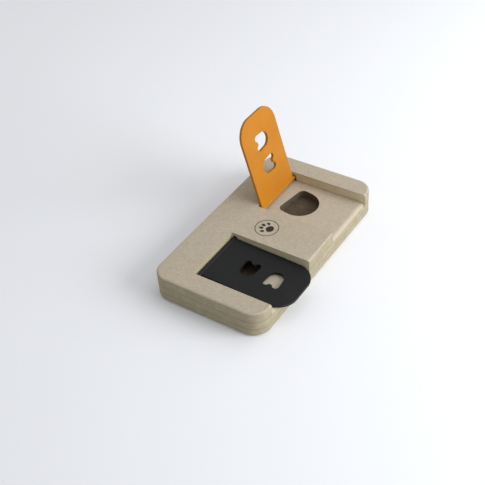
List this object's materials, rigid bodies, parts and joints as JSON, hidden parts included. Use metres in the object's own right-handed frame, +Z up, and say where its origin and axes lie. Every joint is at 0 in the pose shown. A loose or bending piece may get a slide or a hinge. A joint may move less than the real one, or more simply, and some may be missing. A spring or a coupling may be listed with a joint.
{
  "type": "dog puzzle feeder board",
  "caption": "Layered fibreboard puzzle feeder for dogs: hinged flaps with cutouts cover routed bays, each with a D-shaped treat well.",
  "frame": {"origin": "centre of the board's flat underside, between the two link sockets", "axes": "+X towards the open long side where the flaps overhang, +Y along the board, from the black flap towards the orange one, +Z up"},
  "size_m": [0.1868, 0.31, 0.1596],
  "materials": {
    "mdf": "bare fibreboard, sanded and clear sealed, with brown fibre flecks and faint glue lines",
    "orange_plastic": "satin orange with a fine grain",
    "black_plastic": "matte black with a fine grain",
    "pin_steel": "bright drawn steel",
    "bush_nylon": "moulded black nylon",
    "foot_rubber": "matte black rubber pad"
  },
  "bodies": {
    "board": {"base_board": "mdf", "middle_board": "mdf", "top_board": "mdf", "orange_bush_near": "bush_nylon", "orange_bush_far": "bush_nylon", "black_bush_near": "bush_nylon", "black_bush_far": "bush_nylon", "foot_front_left": "foot_rubber", "foot_front_right": "foot_rubber", "foot_back_left": "foot_rubber", "foot_back_right": "foot_rubber"},
    "orange_flap_body": {"orange_flap": "orange_plastic", "orange_pin_near": "pin_steel", "orange_pin_far": "pin_steel"},
    "black_flap_body": {"black_flap": "black_plastic", "black_pin_near": "pin_steel", "black_pin_far": "pin_steel"}
  },
  "joints": [
    {"name": "orange_flap_hinge", "type": "hinge", "parent": "board", "child": "orange_flap_body", "pos_m": [-0.0316, 0.079, 0.0303], "axis": [0, -1, 0], "range_deg": [-107, 0]},
    {"name": "black_flap_hinge", "type": "hinge", "parent": "board", "child": "black_flap_body", "pos_m": [-0.0316, -0.079, 0.0303], "axis": [0, -1, 0], "range_deg": [0, 107]}
  ]
}
